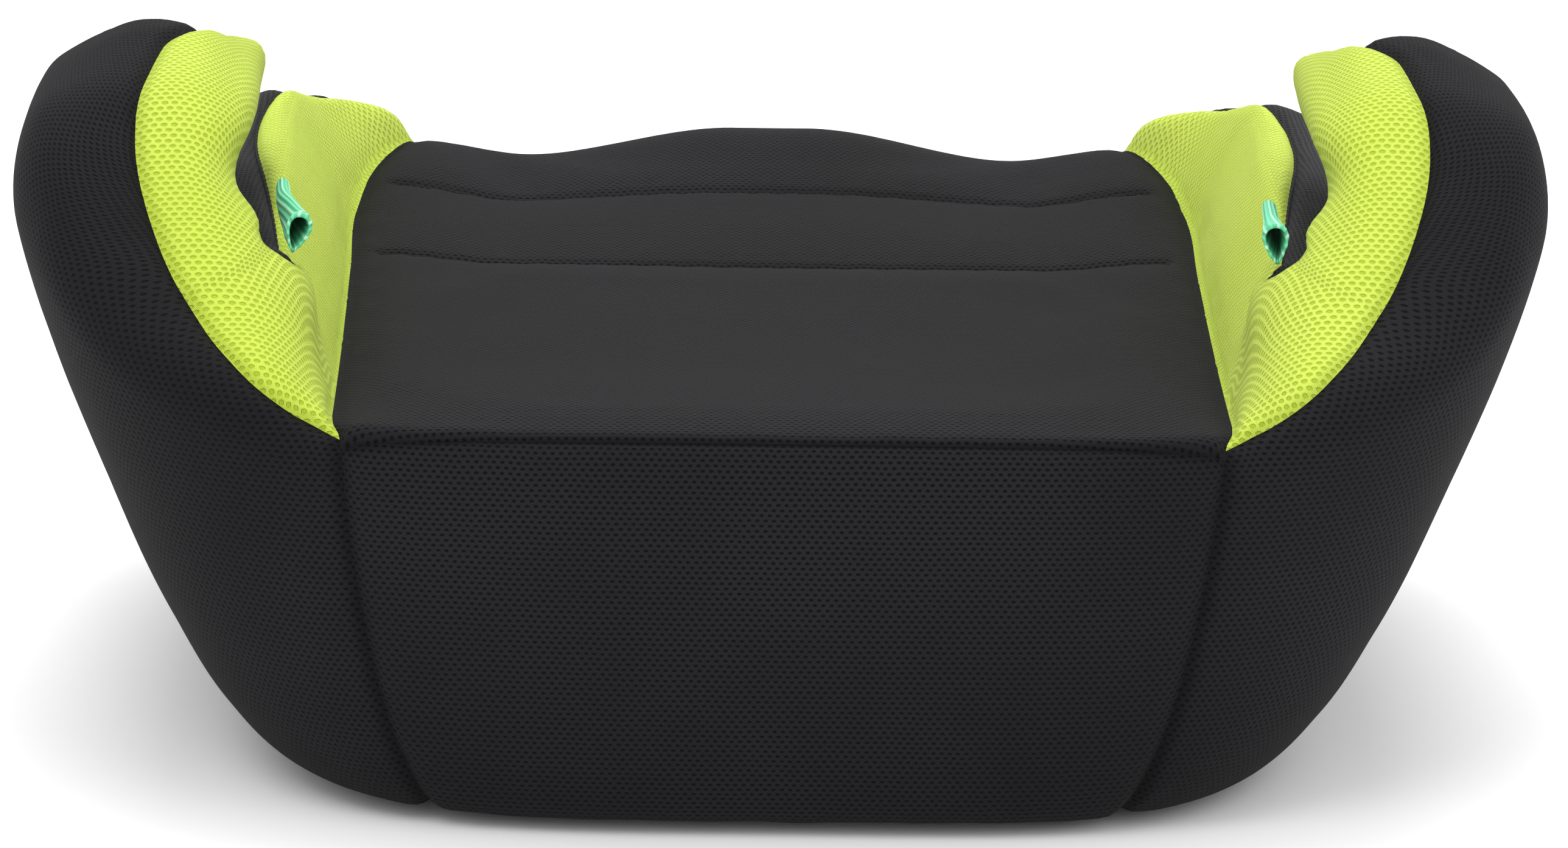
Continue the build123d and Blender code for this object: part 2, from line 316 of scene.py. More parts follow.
def split(points, triangles, value, flagged):
    """Cuts triangles along the line where value is zero, on edges whose ends are both flagged."""
    value = np.where(np.abs(value) < 0.1, 0.0, value)
    pairs = np.stack([triangles, np.roll(triangles, -1, 1)], 2).reshape(-1, 2)
    cross = (value[pairs[:, 0]] * value[pairs[:, 1]] < 0) & flagged[pairs].all(1)
    if not cross.any():
        return points, triangles
    edges, where = np.unique(np.sort(pairs[cross], axis=1), axis=0, return_inverse=True)
    a, b = edges[:, 0], edges[:, 1]
    t = value[a] / (value[a] - value[b])
    fresh = points[a] + (points[b] - points[a]) * t[:, None]
    new = np.full(len(pairs), -1)
    new[cross] = len(points) + where.reshape(-1)
    new = new.reshape(-1, 3)
    cuts = (new >= 0).sum(1)
    made = [triangles[cuts == 0]]
    for k in range(3):
        tri, cut = np.roll(triangles, -k, 1), np.roll(new, -k, 1)
        two = (cuts == 2) & (cut[:, 1] < 0)
        t2, c2 = tri[two], cut[two]
        made.append(np.stack([t2[:, 0], c2[:, 0], c2[:, 2]], 1))
        made.append(np.stack([c2[:, 0], t2[:, 1], t2[:, 2]], 1))
        made.append(np.stack([c2[:, 0], t2[:, 2], c2[:, 2]], 1))
        one = (cuts == 1) & (cut[:, 1] >= 0)
        t1, c1 = tri[one], cut[one]
        made.append(np.stack([t1[:, 0], t1[:, 1], c1[:, 1]], 1))
        made.append(np.stack([t1[:, 0], c1[:, 1], t1[:, 2]], 1))
    return np.concatenate([points, fresh]), np.concatenate(made)


# ------------------------------------------------------------------ seams of the cover
back_side = curve([(0, 95), (8, 99), (20, 104), (40, 110), (65, 115), (90, 118.5), (112, 120.5), (140, 121)])
lime_outer = curve([(110, 112), (114, 118), (118, 127), (124, 138), (134, 151.5), (146, 164), (164, 175.5),
                    (184, 181.5), (197, 180), (204, 175), (208, 169), (221, 166)])
crest = curve([(-190, 126), (-170, 134), (-140, 146), (-110, 154), (-60, 160), (-30, 159), (25, 151.5),
               (70, 144), (100, 139), (118, 134.5), (140, 130)])
arm_top = curve([(-200, 208), (50, 208), (92, 195), (150, 142), (188, 119), (210, 118)])
slope_extra = curve([(-200, 0), (50, 0), (92, 1.8), (150, 23), (188, 29.5), (210, 29.5)])
slot_mid = curve([(-200, 160), (-40, 167), (0, 167), (84, 163), (106, 157), (121, 154.3), (140, 150)])
NOSE_X = 166.0
FRONT_SEAM_Z = 94.0
FRONT_SEAM_X = 108.0
LIME_FRONT_Z = 105.0
LINER_END_X = 196.0
LINER_FRONT_Y = -118.0
LINER_TOP = 13.5          # height of the slot lining over the slot's middle
BEHIND_Y = 120.0          # the slot ends in front of this
QUILT_Y = (-35.0, -120.0)
QUILT_END = (0.0, 4.0)    # how far each quilting line bends back at its ends
QUILT_HALF = 124


def parts(p):
    return np.abs(p[:, 0]), p[:, 1], p[:, 2]


def seam_back_top(p):
    """Positive on the seat side of the seam along the back edge."""
    x, y, z = parts(p)
    return (z - seat_height(x, y)) - (y - half_depth(z)) + 0.6


def seam_back_side(p):
    """Positive outside the back panel."""
    x, _, z = parts(p)
    return x - back_side(z)


def seam_seat_side(p):
    """Positive outside the seat panel."""
    x, y, _ = parts(p)
    return x - seat_edge(y)


def seam_front_top(p):
    return p[:, 2] - FRONT_SEAM_Z


def seam_front_side(p):
    return np.abs(p[:, 0]) - FRONT_SEAM_X


def seam_lime_outer(p):
    """Positive outside the lime panel of the armrest."""
    x, y, z = parts(p)
    ahead = smooth_step(30, 62, y)
    return x - (lime_outer(z) * ahead + NOSE_X * (1 - ahead))


def seam_crest(p):
    x, y, _ = parts(p)
    return x - crest(y)


def seam_lime_front(p):
    return p[:, 2] - LIME_FRONT_Z


def slot_middle(p):
    """Height over the middle of the belt slot."""
    x, y, z = parts(p)
    return z + SLOT_DROP * (x - SLOT_X) - slot_mid(y)


def seam_slot(p):
    """Positive where the surface is a wall of the slot."""
    return -slot_field(p) - body_field(p) + 1.0


def seam_slot_front(p):
    return p[:, 1] - LINER_FRONT_Y


def seam_slot_top(p):
    return slot_middle(p) - LINER_TOP


def seam_slot_end(p):
    return np.abs(p[:, 0]) - LINER_END_X


def seam_behind(p):
    return p[:, 1] - BEHIND_Y


def seam_hem(p):
    """Positive inside the hem's first line, under the seat."""
    x, y, z = parts(p)
    return -outline_inset(x, y, np.zeros_like(z)) - 5.0


def seam_hem_inner(p):
    return seam_hem(p) - (PLATE_INSET - ELASTIC_W - 5.0)


def classify(p):
    """Name of the panel at each point of the cover."""
    x, y, z = parts(p)
    names = np.full(len(p), "side_panel", dtype="U16")
    above = slot_middle(p) > 0
    behind = y > BEHIND_Y
    back = y > 60
    low_front = (y < -60) & (seam_front_top(p) < 0)
    on_back = back & (seam_back_top(p) < 0)
    in_slot = (seam_slot(p) > 0) & (seam_slot_top(p) < 0) & above
    floor_of_slot = ~above & (seam_slot_end(p) < 0) & (seam_slot_front(p) > 0) & (z > 110)
    liner = (in_slot | floor_of_slot) & (seam_crest(p) > 0) & ~behind & (y > LINER_FRONT_Y)
    lime = np.where(above | behind, seam_lime_outer(p) < 0, (seam_crest(p) < 0) & (seam_lime_front(p) > 0))
    names[lime] = "arm_panel"
    names[liner] = "slot_liner"
    in_seat = seam_seat_side(p) < 0
    names[in_seat & ~on_back & ~low_front & (z > 60)] = "seat_panel"
    names[on_back & (seam_back_side(p) < 0)] = "back_panel"
    names[on_back & (seam_back_side(p) >= 0) & (x < 123)] = "side_panel"
    names[low_front & (seam_front_side(p) < 0)] = "front_panel"
    under = (z < 4) & (seam_hem(p) > 0)
    names[under] = "hem_band"
    names[under & (seam_hem_inner(p) > 0)] = "none"
    return names


SEAMS = [seam_back_top, seam_back_side, seam_seat_side, seam_front_top, seam_front_side, seam_lime_outer,
         seam_crest, seam_lime_front, seam_slot, seam_slot_top, seam_slot_end, seam_behind, slot_middle,
         seam_hem, seam_hem_inner]


def grow(flagged, triangles, times):
    """Flags the neighbours of flagged vertices too."""
    for _ in range(times):
        flagged = flagged.copy()
        flagged[triangles[flagged[triangles].any(1)].reshape(-1)] = True
    return flagged


def near_a_change(points, triangles):
    """Vertices beside a place where the panel changes."""
    names = classify(points)[triangles]
    changed = np.zeros(len(points), bool)
    changed[triangles[(names != names[:, :1]).any(1)].reshape(-1)] = True
    return grow(changed, triangles, 1)


def sewn_edges(triangles, names):
    """Edges between two panels."""
    pairs = np.sort(np.stack([triangles, np.roll(triangles, -1, 1)], 2).reshape(-1, 2), axis=1)
    owner = np.repeat(np.arange(len(triangles)), 3)
    order = np.lexsort((pairs[:, 1], pairs[:, 0]))
    pairs, owner = pairs[order], owner[order]
    same = (pairs[1:] == pairs[:-1]).all(1)
    a, b = owner[:-1][same], owner[1:][same]
    differs = names[a] != names[b]
    return pairs[:-1][same][differs], names[a[differs]], names[b[differs]]


def tree_of(points):
    tree = KDTree(len(points))
    for i, p in enumerate(points.tolist()):
        tree.insert(p, i)
    tree.balance()
    return tree


def distances(points, samples, reach):
    """Distance of each point to the nearest sample, up to reach."""
    tree = tree_of(samples)
    return np.array([min(tree.find(p)[2], reach) for p in points.tolist()])


# ------------------------------------------------------------------ padding and creases
def ripple(p, length, seed):
    """A smooth uneven wave through space, between about -1 and 1."""
    rng = np.random.default_rng(seed)
    total = np.zeros(len(p))
    for _ in range(5):
        way = rng.normal(size=3)
        way *= (0.7 + 0.6 * rng.random()) * 2 * math.pi / length / np.linalg.norm(way)
        total += np.sin(p @ way + rng.random() * 6.28)
    return total / 3.2


def quilt_line(x, k):
    """Where quilting line k lies from front to back."""
    return QUILT_Y[k] + QUILT_END[k] * (np.abs(x) / 110.0) ** 3


def on_seat_top(p, half_width_there):
    return (np.abs(p[:, 0]) < half_width_there) & (p[:, 2] > SEAT_ZONE_Z[0]) & (p[:, 2] < SEAT_ZONE_Z[1])


def relief(p, seam):
    """How far the cover stands out from its plain form. seam is the distance to the nearest seam."""
    out = -1.9 * np.exp(-(seam / 2.2) ** 2) - 0.9 * np.exp(-(seam / 8.0) ** 2)
    out += ripple(p, 60.0, 3) * 0.2 * (1 - np.exp(-(seam / 10.0) ** 2))
    out += ripple(p, 15.0, 8) * 0.2 * np.exp(-((seam - 5.0) / 5.0) ** 2)
    x, y = p[:, 0], p[:, 1]
    on_seat = on_seat_top(p, QUILT_HALF)
    fade = smooth_step(0.0, 5.0, QUILT_HALF - np.abs(x))
    for k in range(2):
        off = y - quilt_line(x, k)
        groove = -1.5 * np.exp(-(off / 2.4) ** 2) - 0.5 * np.exp(-(off / 10.0) ** 2)
        pucker = 0.14 * np.sin(x * 0.62 + 1.3 * np.sin(x * 0.11)) * np.exp(-((np.abs(off) - 4.0) / 4.0) ** 2)
        out += np.where(on_seat, (groove + pucker) * fade, 0.0)
    return out


def inflated(points, quads, held):
    """Where a pressed-out cloth comes to rest with its held vertices kept in place."""
    mesh = bpy.data.meshes.new("cover_cloth")
    mesh.from_pydata((points * MM).tolist(), [], quads.tolist())
    o = bpy.data.objects.new("cover_cloth", mesh)
    bpy.context.scene.collection.objects.link(o)
    group = o.vertex_groups.new(name="sewn")
    group.add(np.flatnonzero(held).tolist(), 1.0, "REPLACE")
    cloth = o.modifiers.new("cloth", "CLOTH")
    s = cloth.settings
    s.quality = 4
    s.mass = 0.25
    s.tension_stiffness = s.compression_stiffness = 20.0
    s.shear_stiffness = 6.0
    s.bending_stiffness = 4.0
    s.vertex_group_mass = "sewn"
    s.use_pressure = True
    s.uniform_pressure_force = 3.0
    s.shrink_min = 0.0
    s.effector_weights.gravity = 0.0
    cloth.point_cache.frame_start, cloth.point_cache.frame_end = 1, CLOTH_FRAMES
    scene = bpy.context.scene
    for frame_number in range(1, CLOTH_FRAMES + 1):
        scene.frame_set(frame_number)
    shape = o.evaluated_get(bpy.context.evaluated_depsgraph_get()).to_mesh()
    moved = np.empty(len(points) * 3)
    shape.vertices.foreach_get("co", moved)
    scene.frame_set(1)
    bpy.data.objects.remove(o)
    return moved.reshape(-1, 3) / MM


def cloth_lift(samples):
    """Presses the cover out as cloth held at its seams. Returns how far it lifts, within LIFT_RANGE."""
    points, quads = surface_net(seat_field, *COVER_BOX, CLOTH_GRID)
    points = relax(points, quads, seat_field, 1)
    seam = distances(points, samples, 40.0)
    on_seat = on_seat_top(points, SEAT_HALF)
    for k in range(2):
        seam = np.where(on_seat, np.minimum(seam, np.abs(points[:, 1] - quilt_line(points[:, 0], k))), seam)
    moved = inflated(points, quads, (seam < 5.0) | (points[:, 2] < 14.0))
    lift = np.clip(((moved - points) * outward(points)).sum(1), *LIFT_RANGE)
    tree = tree_of(points)

    def value(at):
        out = np.empty(len(at))
        for i, p in enumerate(at.tolist()):
            near = tree.find_n(p, 5)
            weights = [1.0 / (d * d + 6.0) for _, _, d in near]
            out[i] = sum(w * lift[j] for w, (_, j, _) in zip(weights, near)) / sum(weights)
        return out

    return value


# ------------------------------------------------------------------ materials
class Shader:
    """Short ways to wire up one material's nodes."""

    def __init__(self, name, roughness, sheen=0.0, specular=0.5):
        self.material = bpy.data.materials.new(name)
        self.material.use_nodes = True
        self.tree = self.material.node_tree
        self.out = self.tree.nodes["Principled BSDF"]
        self.out.inputs["Roughness"].default_value = roughness
        self.out.inputs["Sheen Weight"].default_value = sheen
        self.out.inputs["Sheen Roughness"].default_value = 0.45
        self.out.inputs["Specular IOR Level"].default_value = specular

    def node(self, kind, **settings):
        node = self.tree.nodes.new(kind)
        for key, value in settings.items():
            setattr(node, key, value)
        return node

    def put(self, socket, value):
        if isinstance(value, bpy.types.NodeSocket):
            self.tree.links.new(value, socket)
        else:
            socket.default_value = value

    def math(self, operation, a, b=0.0):
        node = self.node("ShaderNodeMath", operation=operation)
        self.put(node.inputs[0], a)
        self.put(node.inputs[1], b)
        return node.outputs[0]

    def ramp(self, value, low, high, start=0.0, end=1.0):
        node = self.node("ShaderNodeMapRange", interpolation_type="SMOOTHSTEP")
        ends = {"From Min": low, "From Max": high, "To Min": start, "To Max": end}
        for key, v in {"Value": value, **ends}.items():
            self.put(node.inputs[key], v)
        return node.outputs[0]

    def mix(self, factor, a, b):
        node = self.node("ShaderNodeMix", data_type="RGBA")
        self.put(node.inputs[0], factor)
        self.put(node.inputs[6], a if isinstance(a, bpy.types.NodeSocket) else (*a, 1.0))
        self.put(node.inputs[7], b if isinstance(b, bpy.types.NodeSocket) else (*b, 1.0))
        return node.outputs[2]

    def noise(self, scale, detail=3.0, vector=None):
        node = self.node("ShaderNodeTexNoise")
        node.inputs["Scale"].default_value = scale
        node.inputs["Detail"].default_value = detail
        self.put(node.inputs["Vector"], vector or self.place())
        return node.outputs["Fac"]

    def place(self):
        return self.node("ShaderNodeTexCoord").outputs["Object"]

    def attribute(self, name):
        return self.node("ShaderNodeAttribute", attribute_name=name)

    def weave(self):
        """Position in the flat cloth, in millimetres."""
        both = self.node("ShaderNodeSeparateXYZ")
        self.put(both.inputs[0], self.attribute("weave").outputs["Vector"])
        return both.outputs[0], both.outputs[1]

    def bump(self, height, distance, strength=1.0, under=None):
        node = self.node("ShaderNodeBump")
        node.inputs["Distance"].default_value = distance
        node.inputs["Strength"].default_value = strength
        self.put(node.inputs["Height"], height)
        if under is not None:
            self.put(node.inputs["Normal"], under)
        return node.outputs["Normal"]

    def finish(self, colour, normal=None, roughness=None):
        self.put(self.out.inputs["Base Color"], colour)
        if normal is not None:
            self.put(self.out.inputs["Normal"], normal)
        if roughness is not None:
            self.put(self.out.inputs["Roughness"], roughness)
        return self.material


def spacer_mesh(name, body, shade, light, pitch, hole, depth, sheen, specular=0.08, turned=False):
    """Knitted spacer fabric: staggered oval dimples of the given pitch and size, in millimetres."""
    m = Shader(name, 0.82, sheen, specular)
    u, v = m.weave()
    if turned:
        u, v = v, u
    drift = m.noise(120.0, 2.0)
    u = m.math("ADD", u, m.math("MULTIPLY", m.math("SUBTRACT", drift, 0.5), 0.9))
    v = m.math("ADD", v, m.math("MULTIPLY", m.math("SUBTRACT", drift, 0.5), -0.7))
    row = m.math("FLOOR", m.math("DIVIDE", v, pitch[1]))
    odd = m.math("MULTIPLY", m.math("FLOORED_MODULO", row, 2.0), 0.5)
    a = m.math("SUBTRACT", m.math("FRACT", m.math("ADD", m.math("DIVIDE", u, pitch[0]), odd)), 0.5)
    b = m.math("SUBTRACT", m.math("FRACT", m.math("DIVIDE", v, pitch[1])), 0.5)
    a2 = m.math("POWER", m.math("ABSOLUTE", m.math("MULTIPLY", a, 2.0 * pitch[0] / hole[0])), 2.0)
    b2 = m.math("POWER", m.math("ABSOLUTE", m.math("MULTIPLY", b, 2.0 * pitch[1] / hole[1])), 2.0)
    dimple = m.ramp(m.math("ADD", a2, b2), 0.35, 1.5, 1.0, 0.0)
    yarn = m.math("MULTIPLY", m.math("SINE", m.math("MULTIPLY", u, 13.0)),
                  m.math("SINE", m.math("MULTIPLY", v, 10.0)))
    patch = m.noise(9.0, 3.0)
    fuzz = m.noise(900.0, 2.0)
    colour = m.mix(m.ramp(patch, 0.3, 0.72), body, light)
    # Painted shade: the dimples, which are recesses, are darkened towards the shade colour as if in shadow.
    colour = m.mix(m.math("MULTIPLY", dimple, 0.92), colour, shade)
    colour = m.mix(m.ramp(yarn, -1.0, 1.0, 0.0, 0.16), colour, light)
    # Painted shade: the cloth darkens towards the shade colour within 4.5 mm of a seam, where the seam
    # grooves fall into shadow.
    painted_seam_shade = m.ramp(m.attribute("seam").outputs["Fac"], 0.0, 4.5, 0.34, 0.0)
    colour = m.mix(painted_seam_shade, colour, shade)
    normal = m.bump(fuzz, 0.0002, 0.5)
    normal = m.bump(yarn, 0.00012, 0.7, normal)
    normal = m.bump(m.math("MULTIPLY", dimple, -1.0), depth * MM, 0.9, normal)
    return m.finish(colour, normal, m.ramp(patch, 0.2, 0.8, 0.74, 0.9))


def ribbed(name, body, shade, light, pitch, depth, sheen=0.05):
    """Woven tape with ribs along it."""
    m = Shader(name, 0.6, sheen, 0.3)
    u, v = m.weave()
    rib = m.math("COSINE", m.math("MULTIPLY", u, 2 * math.pi / pitch))
    weft = m.math("SINE", m.math("ADD", m.math("MULTIPLY", v, 9.0), m.math("MULTIPLY", u, 5.0)))
    # Painted shade: the valleys between the ribs are darkened towards the shade colour.
    colour = m.mix(m.ramp(rib, -0.6, 0.9), shade, body)
    wide = m.math("COSINE", m.math("MULTIPLY", u, math.pi / pitch))
    colour = m.mix(m.ramp(wide, 0.5, 1.0, 0.0, 0.75), colour, light)
    colour = m.mix(m.ramp(m.noise(60.0, 3.0), 0.35, 0.7, 0.0, 0.2), colour, shade)
    normal = m.bump(weft, 0.00008, 0.7)
    normal = m.bump(rib, depth * MM, 0.8, normal)
    return m.finish(colour, normal)


def thread(name, body, light):
    m = Shader(name, 0.7, 0.02, 0.1)
    twist = m.node("ShaderNodeTexWave", bands_direction="DIAGONAL")
    twist.inputs["Scale"].default_value = 900.0
    m.put(twist.inputs["Vector"], m.place())
    colour = m.mix(twist.outputs["Fac"], body, light)
    return m.finish(colour, m.bump(twist.outputs["Fac"], 0.0002, 0.8))


def plastic(name, body, light, roughness=0.55):
    """Moulded plastic with a light spark-eroded grain and scuffs."""
    m = Shader(name, roughness)
    grain = m.noise(1400.0, 2.0)
    scuff = m.noise(38.0, 8.0)
    colour = m.mix(m.ramp(scuff, 0.52, 0.78, 0.0, 0.5), body, light)
    dull = m.ramp(scuff, 0.3, 0.8, roughness - 0.1, roughness + 0.18)
    return m.finish(colour, m.bump(grain, 0.00012, 0.5), dull)


def beads(name, body, shade, size):
    """Foam: moulded beads or open cells of about the given size in millimetres."""
    m = Shader(name, 0.86, 0.1)
    cells = m.node("ShaderNodeTexVoronoi")
    cells.inputs["Scale"].default_value = 1000.0 / size
    m.put(cells.inputs["Vector"], m.place())
    gap = m.ramp(cells.outputs["Distance"], 0.25, 0.75)
    colour = m.mix(m.math("MULTIPLY", gap, 0.7), body, shade)
    colour = m.mix(m.ramp(m.noise(14.0, 3.0), 0.3, 0.8, 0.0, 0.3), colour, shade)
    return m.finish(colour, m.bump(m.math("MULTIPLY", gap, -1.0), size * 0.1 * MM, 0.7))


def rubber(name, body, light):
    m = Shader(name, 0.75)
    dust = m.noise(70.0, 6.0)
    colour = m.mix(m.ramp(dust, 0.5, 0.8, 0.0, 0.6), body, light)
    return m.finish(colour, m.bump(m.noise(800.0, 2.0), 0.00015, 0.5), m.ramp(dust, 0.3, 0.8, 0.62, 0.9))


def plated_steel(name, body, shade):
    m = Shader(name, 0.32)
    m.out.inputs["Metallic"].default_value = 1.0
    lines = m.node("ShaderNodeTexWave", wave_type="RINGS", rings_direction="Z")
    lines.inputs["Scale"].default_value = 1200.0
    lines.inputs["Distortion"].default_value = 1.5
    m.put(lines.inputs["Vector"], m.place())
    spots = m.noise(260.0, 5.0)
    colour = m.mix(m.ramp(spots, 0.5, 0.8, 0.0, 0.6), body, shade)
    return m.finish(colour, m.bump(lines.outputs["Fac"], 0.00005, 0.4), m.ramp(spots, 0.3, 0.8, 0.25, 0.5))


MATERIALS = {
    "black_cover": spacer_mesh("black_cover", (0.0075, 0.0072, 0.0085), (0.0006, 0.0006, 0.0008),
                               (0.0145, 0.014, 0.0165), (2.3, 1.5), (1.25, 0.85), 0.32, 0.02),
    "lime_cover": spacer_mesh("lime_cover", (0.48, 0.60, 0.055), (0.30, 0.43, 0.010), (0.55, 0.66, 0.10),
                              (2.9, 1.85), (1.75, 1.1), 0.42, 0.06, 0.2),
    "slot_mesh": spacer_mesh("slot_mesh", (0.020, 0.020, 0.022), (0.001, 0.001, 0.0015),
                             (0.038, 0.038, 0.042), (2.5, 1.6), (1.5, 1.0), 0.5, 0.03, turned=True),
    "mint_webbing": ribbed("mint_webbing", (0.15, 0.62, 0.36), (0.09, 0.50, 0.26), (0.45, 0.80, 0.62),
                           1.85, 0.12),
    "black_binding": ribbed("black_binding", (0.026, 0.026, 0.029), (0.006, 0.006, 0.007),
                            (0.04, 0.04, 0.045), 0.8, 0.1),
    "elastic": ribbed("elastic", (0.040, 0.040, 0.044), (0.010, 0.010, 0.012), (0.07, 0.07, 0.075),
                      1.1, 0.25),
    "moulded_foam": beads("moulded_foam", (0.80, 0.81, 0.82), (0.58, 0.60, 0.62), 4.0),
    "soft_foam": beads("soft_foam", (0.62, 0.61, 0.56), (0.36, 0.35, 0.31), 1.2),
    "core_plastic": plastic("core_plastic", (0.055, 0.055, 0.060), (0.11, 0.11, 0.12)),
    "plate_plastic": plastic("plate_plastic", (0.042, 0.042, 0.047), (0.10, 0.10, 0.105), 0.5),
    "rubber": rubber("rubber", (0.026, 0.026, 0.028), (0.085, 0.083, 0.08)),
    "screw_steel": plated_steel("screw_steel", (0.56, 0.56, 0.58), (0.33, 0.32, 0.30)),
}
DARK_THREAD = thread("dark_thread", (0.003, 0.003, 0.0035), (0.012, 0.012, 0.013))


# ------------------------------------------------------------------ making pieces
def make_piece(name, points, faces, slot_name, body="seat", weave=None, seam=None, sharp=None, material=None):
    """A smooth-shaded mesh object from millimetre points, with its cloth coordinates."""
    mesh = bpy.data.meshes.new(name)
    mesh.from_pydata((points * MM).tolist(), [], [list(map(int, f)) for f in faces])
    mesh.shade_smooth()
    if weave is not None:
        vector = mesh.attributes.new("weave", "FLOAT_VECTOR", "POINT")
        flat = np.column_stack([weave, np.zeros(len(weave))]).astype(np.float32)
        vector.data.foreach_set("vector", flat.ravel())
        field = mesh.attributes.new("seam", "FLOAT", "POINT")
        distance = np.full(len(points), 20.0) if seam is None else seam
        field.data.foreach_set("value", distance.astype(np.float32))
    if sharp is not None:
        ends = np.empty(len(mesh.edges) * 2, int)
        mesh.edges.foreach_get("vertices", ends)
        ends = np.sort(ends.reshape(-1, 2), axis=1)
        wanted = np.sort(sharp, axis=1)
        n = len(points)
        flag = np.isin(ends[:, 0] * n + ends[:, 1], wanted[:, 0] * n + wanted[:, 1])
        mesh.attributes.new("sharp_edge", "BOOLEAN", "EDGE").data.foreach_set("value", flag)
    o = bpy.data.objects.new(name, mesh)
    bpy.context.scene.collection.objects.link(o)
    mesh.materials.append(material or MATERIALS[slot_name])
    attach(o, body)
    return o


def closed_shell(outer, inner, triangles):
    """Points, faces and rim edges of a closed skin between an outer and an inner layer."""
    used, index = np.unique(triangles, return_inverse=True)
    tri = index.reshape(-1, 3)
    n = len(used)
    directed = np.stack([tri, np.roll(tri, -1, 1)], 2).reshape(-1, 2)
    code, back = directed[:, 0] * n + directed[:, 1], directed[:, 1] * n + directed[:, 0]
    rim = directed[~np.isin(code, back)]
    walls = np.column_stack([rim[:, 1], rim[:, 0], rim[:, 0] + n, rim[:, 1] + n])
    faces = tri.tolist() + (tri[:, ::-1] + n).tolist() + walls.tolist()
    return np.concatenate([outer[used], inner[used]]), faces, np.concatenate([rim, rim + n]), used


def tube(path, radius, sides=6, wobble=0.0):
    """Points and faces of a closed round tube along a path."""
    path = np.asarray(path, float)
    way = np.gradient(path, axis=0)
    way /= np.linalg.norm(way, axis=1)[:, None] + 1e-9
    side = np.cross(way, (0.31, 0.17, 0.93))
    side /= np.linalg.norm(side, axis=1)[:, None] + 1e-9
    up = np.cross(way, side)
    angle = np.arange(sides) * 2 * math.pi / sides
    size = radius * (1 + wobble * np.sin(np.arange(len(path)) * 2.1))
    size[[0, -1]] *= 0.35
    ring = side[:, None] * np.cos(angle)[None, :, None] + up[:, None] * np.sin(angle)[None, :, None]
    points = (path[:, None] + ring * size[:, None, None]).reshape(-1, 3)
    faces = []
    for i in range(len(path) - 1):
        for j in range(sides):
            k = (j + 1) % sides
            faces.append((i * sides + j, i * sides + k, (i + 1) * sides + k, (i + 1) * sides + j))
    faces.append(tuple(range(sides))[::-1])
    faces.append(tuple((len(path) - 1) * sides + j for j in range(sides)))
    return points, faces


def joined(shapes):
    points, faces, start = [], [], 0
    for p, f in shapes:
        points.append(p)
        faces += [tuple(i + start for i in face) for face in f]
        start += len(p)
    return np.concatenate(points), faces


def chains(edges):
    """Edges joined end to end into runs of vertices."""
    links = {}
    for a, b in edges.tolist():
        links.setdefault(a, set()).add(b)
        links.setdefault(b, set()).add(a)
    runs = []
    for start in sorted(links, key=lambda k: (len(links[k]) != 1, k)):
        while links[start]:
            run = [start]
            while links[run[-1]]:
                step = min(links[run[-1]])
                links[run[-1]].discard(step)
                links[step].discard(run[-1])
                run.append(step)
            runs.append(run)
    return runs


def evenly(path, step):
    """The path at even steps, lightly smoothed."""
    path = np.asarray(path, float)
    for _ in range(3):
        path[1:-1] = path[1:-1] * 0.5 + (path[2:] + path[:-2]) * 0.25
    length = np.concatenate([[0], np.cumsum(np.linalg.norm(np.diff(path, axis=0), axis=1))])
    at = np.linspace(0, length[-1], max(3, int(length[-1] / step)))
    return np.column_stack([np.interp(at, length, path[:, i]) for i in range(3)])


# ------------------------------------------------------------------ cloth coordinates
# Length round the seat's side, by direction from its middle.
side_angle = np.linspace(-math.pi, math.pi, 721)
side_ring = (outline_radius(side_angle, 200, 186)
             * np.stack([np.cos(side_angle), np.sin(side_angle)])).T
side_length = np.concatenate([[0], np.cumsum(np.linalg.norm(np.diff(side_ring, axis=0), axis=1))])


def round_the_side(p):
    return np.interp(np.arctan2(p[:, 1], p[:, 0]), side_angle, side_length)


def weave_of(name, p):
    """Position in the flat cloth, in millimetres."""
    x, y, z = np.abs(p[:, 0]), p[:, 1], p[:, 2]
    side = np.sign(p[:, 0])
    if name == "seat_panel":
        return np.column_stack([p[:, 0], y - np.maximum(0, 122 - z) * smooth_step(-168, -184, y)])
    if name in ("back_panel", "front_panel"):
        return np.column_stack([p[:, 0], z])
    if name == "slot_liner":
        lift = np.where(slot_middle(p) > 0, slot_middle(p), 0)
        return np.column_stack([side * x * 1.1, y - lift * smooth_step(24, 4, y)])
    if name == "arm_panel":
        x = x - (seat_edge(y) - SEAT_HALF) * (1 - smooth_step(150, 215, x))
        on_bolster = (43.6 * np.clip((z - 117) / 39, 0, 1) + np.maximum(0, x - 142.5) * 1.1
                      + np.minimum(0, x - 123))
        on_arm = x - np.maximum(0, arm_top(y) - z) * smooth_step(166, 152, x)
        to_arm = np.maximum(smooth_step(100, 150, y), smooth_step(-4, 8, slot_middle(p)))
        rise = slope_extra(y) * smooth_step(-36, -8, z - arm_top(y))
        return np.column_stack([side * ((on_bolster + 77) * (1 - to_arm) + on_arm * to_arm), y + rise])
    if name == "hem_band":
        return np.column_stack([-outline_inset(x, y, np.zeros_like(z)), round_the_side(p)])
    over = np.maximum(0, 214 - x) * smooth_step(184, 165, y) * smooth_step(150, 185, z)
    return np.column_stack([round_the_side(p), z + over])


